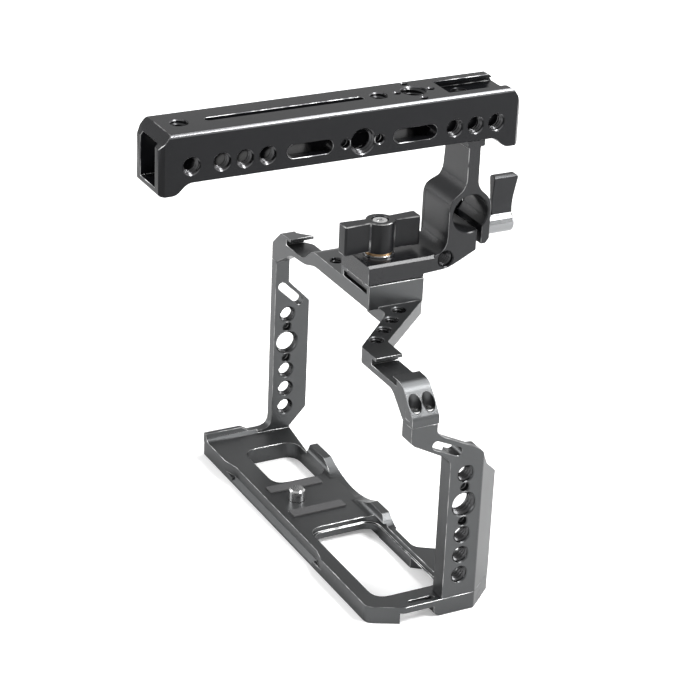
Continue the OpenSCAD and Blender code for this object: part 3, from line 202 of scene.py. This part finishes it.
FINISH = {
    "cage_metal": metal("cage_metal", (0.076, 0.078, 0.0795), (0.093, 0.0955, 0.0975), 0.36),
    "handle_metal": metal("handle_metal", (0.008, 0.0084, 0.0095), (0.012, 0.0124, 0.0142), 0.25,
                          metallic=0.1, specular=0.36),
    "bright_steel": turned("bright_steel", (0.72, 0.72, 0.72), 0.2),
    "dark_steel": turned("dark_steel", (0.12, 0.12, 0.12), 0.3),
    "bronze": turned("bronze", (0.55, 0.36, 0.2), 0.35),
    "pad_rubber": grained("pad_rubber", (0.07, 0.07, 0.072), 0.8, RUBBER_SCALE, 2.0, (0.6, 0.85),
                          RUBBER_BUMP, 0.0),
}
# Bevel bands: lighter than the faces, for bare-metal wear on the edges and also as a painted highlight along
# them.
EDGE_WEAR_AND_HIGHLIGHT = {
    "cage_metal": metal("cage_edge", (0.1, 0.1015, 0.104), (0.125, 0.1265, 0.129), 0.3,
                        bare=0.42, bare_from=0.4),
    "handle_metal": metal("handle_edge", (0.04, 0.0405, 0.043), (0.05, 0.0505, 0.054), 0.28,
                          metallic=0.8, bare=0.36, bare_from=0.44),
}
KNOB = metal("knob_metal", (0.008, 0.0083, 0.0093), (0.011, 0.0113, 0.0125), 0.3, metallic=0.1, specular=0.2)
OWN_FINISH = {
    "handle_body": handle_finish("handle_body_metal"),
    "rod_lever": lever_finish("lever_metal"),
    "clamp_knob": KNOB,
    "shoe_clamp_plate": KNOB,
}
# Thread metal, darker than the cage's metal: painted shade inside the cage's tapped holes.
THREAD = metal("thread_metal", (0.05, 0.0502, 0.052), (0.08, 0.0802, 0.082), 0.24, ripple=0.04)


# Edges and shading
BEVEL = {"base_frame": 0.14, "top_frame": 0.14, "grip_upright": 0.14, "handle_body": 0.2,
         "handle_arm": 0.22, "rod_lever": 0.3, "clamp_knob": 0.4}
SMALL_BEVEL = 0.12
ROUNDED = ("rod_lever", "clamp_knob")
ROUNDED_FROM, EDGED_FROM = math.radians(28), math.radians(50)
HARD_FROM, SPLIT_FROM, FLAT_TO = math.radians(38), math.radians(35), math.radians(0.6)
SAME_POINT = 0.002 * MM
NORMAL_WEIGHT = 70
# Where thin wedges of the base end, in mm: a bevel there would run out past the surface.
WEDGES = ((-60.8, 24.6, -1.0), (-60.8, -12.5, -1.0), (-62.8, -12.5, -1.0), (-35.4, 25.5, -0.6),
          (35.6, 25.5, -0.6), (35.6, 25.5, -2.9))
WEDGE_REACH = 1.6 * MM
BOTH_ENDS = 0.9


def geometry_group(name):
    tree = bpy.data.node_groups.new(name, "GeometryNodeTree")
    for way in ("INPUT", "OUTPUT"):
        tree.interface.new_socket("Geometry", in_out=way, socket_type="NodeSocketGeometry")
    return Graph(tree)


def shade_by_angle():
    """Smooth faces, with edges sharper than the limit kept hard."""
    g = geometry_group("shade_by_angle")
    soft = g.add("GeometryNodeSetShadeSmooth", {"Geometry": g.add("NodeGroupInput").outputs[0]})
    angle = g.add("GeometryNodeInputMeshEdgeAngle").outputs["Unsigned Angle"]
    sharp = g.add("FunctionNodeCompare", {0: angle, 1: HARD_FROM}, data_type="FLOAT",
                  operation="GREATER_THAN")
    hard = g.add("GeometryNodeSetShadeSmooth", {"Geometry": soft.outputs[0], "Selection": sharp.outputs[0],
                                                "Shade Smooth": False}, domain="EDGE")
    g.add("NodeGroupOutput", {0: hard.outputs[0]})
    return g.tree


def edges_to_bevel():
    """Bevel weight 1 on sharp edges, and 0 on those that touch the end of a thin wedge."""
    g = geometry_group("edges_to_bevel")
    place = g.add("GeometryNodeInputPosition").outputs[0]
    clear = 1.0
    for wedge in WEDGES:
        far = g.math("GREATER_THAN", g.vector("DISTANCE", place, Vector(wedge) * MM), WEDGE_REACH)
        clear = g.math("MULTIPLY", clear, far)
    ends = g.add("GeometryNodeFieldOnDomain", {0: clear}, domain="POINT", data_type="FLOAT").outputs[0]
    angle = g.add("GeometryNodeInputMeshEdgeAngle").outputs["Unsigned Angle"]
    weight = g.math("MULTIPLY", g.math("GREATER_THAN", angle, EDGED_FROM),
                    g.math("GREATER_THAN", ends, BOTH_ENDS))
    store = g.add("GeometryNodeStoreNamedAttribute", {"Geometry": g.add("NodeGroupInput").outputs[0],
                                                      "Name": "bevel_weight_edge", "Value": weight},
                  data_type="FLOAT", domain="EDGE")
    g.add("NodeGroupOutput", {0: store.outputs[0]})
    return g.tree


SHADE = shade_by_angle()


def modifier(obj, name, kind, **settings):
    made = obj.modifiers.new(name, kind)
    for key, value in settings.items():
        setattr(made, key, value)


def shade(obj):
    modifier(obj, "shade", "NODES", node_group=SHADE)
    modifier(obj, "normals", "WEIGHTED_NORMAL", keep_sharp=True, weight=NORMAL_WEIGHT)


def dress(name, obj, slot):
    """Finish, edge bands and shading of a CAD node; its mesh stays as it is."""
    obj.data.materials.clear()
    obj.data.materials.append(OWN_FINISH.get(name, FINISH[slot]).material)
    # Lighter bevel band: edge wear and painted highlight.
    if slot in EDGE_WEAR_AND_HIGHLIGHT and name != "rod_lever":
        obj.data.materials.append(EDGE_WEAR_AND_HIGHLIGHT[slot].material)
    modifier(obj, "weld", "WELD", merge_threshold=SAME_POINT)
    modifier(obj, "flat", "DECIMATE", decimate_type="DISSOLVE", angle_limit=FLAT_TO)
    picked = name == "base_frame"
    if picked:
        modifier(obj, "pick", "NODES", node_group=edges_to_bevel())
    rounded = name in ROUNDED
    modifier(obj, "bevel", "BEVEL", width=BEVEL.get(name, SMALL_BEVEL) * MM, segments=2 if rounded else 1,
             limit_method="WEIGHT" if picked else "ANGLE",
             angle_limit=ROUNDED_FROM if rounded else EDGED_FROM,
             use_clamp_overlap=False, material=len(obj.data.materials) - 1)
    shade(obj)


slots = {row["node"]: row["material_slot"] for row in frame["record"]["subparts"]}
for name, obj in frame["nodes"].items():
    dress(name, obj, slots[name])


# Pieces
def piece(name, bm, body, finish, cut=False):
    """Object made from a bmesh, riding on a body; cut says that booleans shaped it."""
    bmesh.ops.recalc_face_normals(bm, faces=bm.faces)
    obj = temporary(name, bm)
    for poly in obj.data.polygons:
        poly.use_smooth = True
    obj.data.materials.append(finish.material)
    if cut:
        shade(obj)
    else:
        modifier(obj, "split", "EDGE_SPLIT", split_angle=SPLIT_FROM)
    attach(obj, body)
    return obj


def temporary(name, bm):
    """Object made from a bmesh, with no finish yet."""
    mesh = bpy.data.meshes.new(name)
    bm.to_mesh(mesh)
    bm.free()
    obj = bpy.data.objects.new(name, mesh)
    bpy.context.scene.collection.objects.link(obj)
    return obj


# Threads
PITCH = {3.175: 1.27, 4.763: 1.5875, 2.6: 0.9}
STEPS = 28
RIDGE_SHARE, CREST_SHARE, FOOT_SHARE = 0.5, 0.07, 0.46
IN_WALL = 0.06
END_SHARE, FADE_SHARE = 0.9, 0.4


def thread(bm, place, axis, r, length):
    """Helical ridge on the wall of a tapped hole; place is the middle of the hole, all in mm."""
    pitch = PITCH[r]
    axis = Vector(axis)
    side = axis.orthogonal().normalized()
    other = axis.cross(side)
    usable = length - pitch * END_SHARE
    count = int(usable / pitch * STEPS)
    rings = []
    for i in range(count + 1):
        angle = 2 * math.pi * i / STEPS
        along = -usable / 2 + usable * i / count
        fade = min(1.0, i / (STEPS * FADE_SHARE), (count - i) / (STEPS * FADE_SHARE))
        out = side * math.cos(angle) + other * math.sin(angle)
        crest = r - pitch * RIDGE_SHARE * fade
        profile = ((r + IN_WALL, -FOOT_SHARE), (crest, -CREST_SHARE), (crest, CREST_SHARE),
                   (r + IN_WALL, FOOT_SHARE))
        rings.append([bm.verts.new((place + out * radius + axis * (along + share * pitch)) * MM)
                      for radius, share in profile])
    for lower, upper in zip(rings, rings[1:]):
        for k in range(4):
            bm.faces.new((lower[k], lower[(k + 1) % 4], upper[(k + 1) % 4], upper[k]))
    bm.faces.new(rings[0][::-1])
    bm.faces.new(rings[-1])


def tapped(bm, names, past_inside=0.0, past_outside=0.0):
    """Threads in the tapped holes whose mounts' names start so, a little past the mount's length."""
    for mount in frame["record"]["mounts"]:
        if mount["kind"] == "threaded_hole" and mount["name"].startswith(names):
            outwards = Vector(mount["axis"])
            place = Vector(mount["pos_m"]) / MM + outwards * (past_outside - past_inside) / 2
            size = mount["dims"]
            thread(bm, place, [abs(part) for part in outwards], round(size["r_mm"], 3),
                   size["length_mm"] + past_inside + past_outside)


bm = bmesh.new()
tapped(bm, ("left_", "grip_", "bar_", "strap_"), past_inside=0.4, past_outside=0.4)
piece("cage_threads", bm, "cage", THREAD)

bm = bmesh.new()
tapped(bm, "handle_", past_outside=0.4)
tapped(bm, "arm_")
piece("handle_threads", bm, "handle", THREAD)


# Shapes that booleans cut, in mm
CORNER_STEPS = 5
BAR_SIDES, HEAD_SIDES, HEX = 48, 40, 6
AXES = {"x": (2, 0, 1), "y": (0, 2, 1), "z": (0, 1, 2)}


def blend(before, corner, after, reach):
    """Rounded corner: points of the curve from reach before the corner to reach after it."""
    b, c, a = Vector(before), Vector(corner), Vector(after)
    p = c + (b - c).normalized() * reach
    q = c + (a - c).normalized() * reach
    shares = [i / CORNER_STEPS for i in range(CORNER_STEPS + 1)]
    return [p * (1 - t) ** 2 + c * 2 * t * (1 - t) + q * t ** 2 for t in shares]


def outline(points):
    """Outline from corners, each with the reach of its rounding."""
    out = []
    for i, (a, b, soft) in enumerate(points):
        if soft:
            out += blend(points[i - 1][:2], (a, b), points[(i + 1) % len(points)][:2], soft)
        else:
            out.append(Vector((a, b)))
    return out


def prism(points, axis, low, high):
    """Solid between two copies of an outline, from low to high along an axis."""
    bm = bmesh.new()
    ends = []
    for along in (low, high):
        spots = [(p[0], p[1], along) for p in points]
        ends.append([bm.verts.new(Vector([spot[i] for i in AXES[axis]]) * MM) for spot in spots])
    bm.faces.new(ends[0])
    bm.faces.new(ends[1][::-1])
    for i in range(len(points)):
        k = (i + 1) % len(points)
        bm.faces.new((ends[0][i], ends[1][i], ends[1][k], ends[0][k]))
    bmesh.ops.recalc_face_normals(bm, faces=bm.faces)
    return temporary("prism", bm)


def bar(start, axis, r, length, sides=BAR_SIDES):
    """Solid cylinder that starts at the centre of its first end."""
    bm = bmesh.new()
    turn = Vector(Z).rotation_difference(Vector(axis)).to_matrix().to_4x4()
    shift = Matrix.Translation((Vector(start) + Vector(axis) * length / 2) * MM)
    bmesh.ops.create_cone(bm, cap_ends=True, segments=sides, radius1=r * MM, radius2=r * MM,
                          depth=length * MM, matrix=shift @ turn)
    return temporary("bar", bm)


def carved(base, *tools):
    """Bmesh of base after its boolean tools; the objects that made it are deleted."""
    for kind, tool in tools:
        modifier(base, "cut", "BOOLEAN", operation=kind, object=tool, solver="EXACT")
    bpy.context.view_layer.update()
    done = base.evaluated_get(bpy.context.evaluated_depsgraph_get())
    bm = bmesh.new()
    bm.from_mesh(done.to_mesh())
    done.to_mesh_clear()
    for obj in [base] + [tool for _, tool in tools]:
        bpy.data.objects.remove(obj, do_unlink=True)
    return bm


def add_head(bm, place, r, height, socket_r, socket_from, socket_height):
    """Screw head with a hex socket, added to a bmesh; place and socket_from are its low ends."""
    x, y, _ = place
    head = carved(bar(place, Z, r, height, HEAD_SIDES),
                  ("DIFFERENCE", bar((x, y, socket_from), Z, socket_r, socket_height, HEX)))
    mesh = bpy.data.meshes.new("head")
    head.to_mesh(mesh)
    head.free()
    bm.from_mesh(mesh)
    bpy.data.meshes.remove(mesh)


COUNTERBORE_R = 2.96
OUTER_X = round(cad_box[1][0] / MM, 3)

# Curved end: narrower bores in its two counterbores, and the heads at their seat
SEAM_Z, SEAT_Z = 73.9, 75.8
END_Y = (-1.4, 9.6)
END = outline([(82.3, SEAM_Z, 0), (OUTER_X, SEAM_Z, 0), (OUTER_X, 77.1, 1), (80.6, 87.4, 3),
               (73.4, 87.6, 0), (73.4, 82.3, 0), (77.7, 78.3, 2)])
BORE_X, COUNTERBORES_Y, BORES_Y = 85.6, (1.05, 7.15), (1.38, 6.82)
BORE_R, END_HEAD_R, END_HEAD_H, END_SOCKET_R = 2.5, 2.25, 3.5, 1.25
BORE_DEPTH, OVERRUN, SEAT_GAP, SOCKET_UP = 14, 1, 0.02, 2.0
for k, (wide_y, bore_y) in enumerate(zip(COUNTERBORES_Y, BORES_Y)):
    bm = carved(prism(END, "y", *END_Y),
                ("INTERSECT", bar((BORE_X, wide_y, SEAT_Z), Z, COUNTERBORE_R, BORE_DEPTH)),
                ("DIFFERENCE", bar((BORE_X, bore_y, SEAT_Z - OVERRUN), Z, BORE_R, BORE_DEPTH + 2 * OVERRUN)))
    piece(f"end_bore_{k + 1}", bm, "cage", FINISH["cage_metal"], cut=True)
bm = bmesh.new()
for bore_y in BORES_Y:
    add_head(bm, (BORE_X, bore_y, SEAT_Z + SEAT_GAP), END_HEAD_R, END_HEAD_H, END_SOCKET_R,
             SEAT_Z + SOCKET_UP, 2 * OVERRUN)
screws = piece("end_screws", bm, "cage", FINISH["bright_steel"], cut=True)
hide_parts("grip_top_screws")

# Underside: a narrower bore in the counterbore by the wing, and both heads
FOOT = [Vector(p) for p in ((79, 28.5), (OUTER_X, 28.5), (OUTER_X, 29.2), (82.5, 37), (79, 37))]
FOOT_LOW, FOOT_HIGH = round(cad_box[0][2] / MM, 3), -3.6
WING_XY, WING_BORE_R = (83.5, 32.9), 1.75
FOOT_HEADS = ((85.7, 19.7, 2.75), (*WING_XY, 1.7))
FOOT_BORE_DEPTH, FOOT_HEAD_UP, FOOT_HEAD_H = 6, 0.4, 3.0
FOOT_SOCKET_SHARE, FOOT_SOCKET_DEPTH = 0.53, 1.6
wing_bore = (*WING_XY, FOOT_LOW - OVERRUN)
bm = carved(prism(FOOT, "z", FOOT_LOW, FOOT_HIGH),
            ("INTERSECT", bar(wing_bore, Z, COUNTERBORE_R, FOOT_BORE_DEPTH)),
            ("DIFFERENCE", bar(wing_bore, Z, WING_BORE_R, FOOT_BORE_DEPTH)))
piece("foot_bore", bm, "cage", FINISH["cage_metal"], cut=True)
bm = bmesh.new()
head_z = FOOT_LOW + FOOT_HEAD_UP
for x, y, r in FOOT_HEADS:
    add_head(bm, (x, y, head_z), r, FOOT_HEAD_H, r * FOOT_SOCKET_SHARE, head_z - OVERRUN,
             FOOT_SOCKET_DEPTH + OVERRUN)
screws = piece("foot_screws", bm, "cage", FINISH["dark_steel"], cut=True)
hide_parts("grip_bottom_screws")

# Back of the rod clamp's ring: a wall with a smaller hole, thinner towards the neck
RING = outline([(49.36, 105.6, 0), (49.36, 126.7, 4), (56.3, 130.8, 2), (60.5, 130.6, 0), (65, 127, 2),
                (66.6, 120.5, 2), (64.6, 112, 2), (61.8, 110, 0), (61.8, 105.6, 0)])
RING_X, RING_HOLE, RING_HOLE_R, RING_HOLE_DEPTH = (0.3, 2.05), (-1, 58.7, 120.5), 6.7, 5
THIN_X, THIN_FROM_Z, THIN_OVER, THIN_BY = 1.0, 126.8, 4.0, 1.6
back = prism(RING, "x", *RING_X)
for vert in back.data.vertices:
    above = vert.co.z / MM - THIN_FROM_Z
    if vert.co.x / MM < THIN_X and above > 0:
        vert.co.x += THIN_BY * MM * min(1, above / THIN_OVER)
bm = carved(back, ("DIFFERENCE", bar(RING_HOLE, X, RING_HOLE_R, RING_HOLE_DEPTH)))
piece("ring_back", bm, "handle", FINISH["handle_metal"], cut=True)


# Floor: pale, and lifted to white only for the camera, more so far from the cage
FLOOR_SIZE, FLOOR_GREY, FLOOR_ROUGH = 6, 0.93, 0.9
LIFT_NEAR, LIFT_FAR = 0.25, 1.0
NEAR, FAR = 0.35, 0.9
bpy.ops.mesh.primitive_plane_add(size=FLOOR_SIZE, location=(0, 0, cad_box[0][2]))
floor = bpy.context.object
floor.name = "floor"
pale = Surface("floor")
pale.set(base_color=(FLOOR_GREY, FLOOR_GREY, FLOOR_GREY, 1), roughness=FLOOR_ROUGH, specular=0.0)
to_camera = pale.add("ShaderNodeLightPath").outputs["Is Camera Ray"]
far_share = pale.ramp(pale.vector("LENGTH", pale.place), LIFT_NEAR, LIFT_FAR, NEAR, FAR)
lift = pale.math("MULTIPLY", to_camera, far_share)
glow = pale.add("ShaderNodeEmission", {"Color": WHITE, "Strength": lift})
both = pale.add("ShaderNodeAddShader", {0: pale.shader.outputs["BSDF"], 1: glow.outputs["Emission"]})
pale.tree.links.new(both.outputs["Shader"], pale.out.inputs["Surface"])
floor.data.materials.append(pale.material)


# World: white to the camera, dim as light, and dark overhead in reflections
DIM = 0.6
SKY_FROM, SKY_TO = 0.15, 0.55
world = bpy.data.worlds.new("studio")
bpy.context.scene.world = world
world.use_nodes = True
g = Graph(world.node_tree)
g.tree.nodes.clear()
path = g.add("ShaderNodeLightPath").outputs
sky = g.add("ShaderNodeTexCoord").outputs["Generated"]
height = g.add("ShaderNodeSeparateXYZ", {"Vector": sky}).outputs["Z"]
low_gloss = g.math("MULTIPLY", g.ramp(height, 1.0, 0.0, SKY_FROM, SKY_TO), path["Is Glossy Ray"])
white = g.math("MAXIMUM", path["Is Camera Ray"], low_gloss)
dim = g.add("ShaderNodeBackground", {"Color": WHITE, "Strength": DIM}).outputs["Background"]
seen = g.add("ShaderNodeBackground", {"Color": WHITE, "Strength": 1.0}).outputs["Background"]
mixed = g.add("ShaderNodeMixShader", {"Fac": white, 1: dim, 2: seen}).outputs["Shader"]
g.add("ShaderNodeOutputWorld", {"Surface": mixed})


# Lights: name, place, width and depth in metres, power in watts
MIDDLE = Vector((0.02, 0.01, 0.08))
LIGHTS = (
    ("edge_key", (0.63, 0.56, 1.08), 0.34, 0.34, 10.0),
    ("strip", (0.02, 0.6, 1.2), 1.0, 0.3, 8.0),
    ("side_soft", (-0.75, -1.15, 0.55), 0.8, 0.8, 14.0),
    ("front_soft", (0.75, 1.1, 0.35), 0.6, 0.6, 12.0),
)
for name, place, width, depth, power in LIGHTS:
    lamp = bpy.data.lights.new(name, "AREA")
    lamp.shape = "RECTANGLE"
    lamp.size = width
    lamp.size_y = depth
    lamp.energy = power
    light = bpy.data.objects.new(name, lamp)
    bpy.context.scene.collection.objects.link(light)
    light.location = place
    light.rotation_euler = (MIDDLE - Vector(place)).to_track_quat("-Z", "Y").to_euler()


# Camera, as fitted to the photograph's straight edges
SENSOR, PHOTO_PX, FOCAL_PX = 36.0, 700.0, 2426.1
CLIP = (0.05, 20.0)
EYE = (0.7458, -0.3855, 0.4648)
FORWARD, RIGHT = Vector((-0.7931, 0.4322, -0.4291)), Vector((0.461, 0.8865, 0.0408))
lens = bpy.data.cameras.new("camera")
lens.sensor_fit = "HORIZONTAL"
lens.sensor_width = SENSOR
lens.lens = FOCAL_PX / PHOTO_PX * SENSOR
lens.clip_start, lens.clip_end = CLIP
camera = bpy.data.objects.new("camera", lens)
bpy.context.scene.collection.objects.link(camera)
right = RIGHT.normalized()
forward = FORWARD.normalized()
right = (right - forward * right.dot(forward)).normalized()
up = right.cross(forward).normalized()
turn = Matrix((right, up, -forward)).transposed()
camera.matrix_world = Matrix.Translation(EYE) @ turn.to_4x4()
bpy.context.scene.camera = camera
bpy.context.scene.view_settings.view_transform = "Standard"
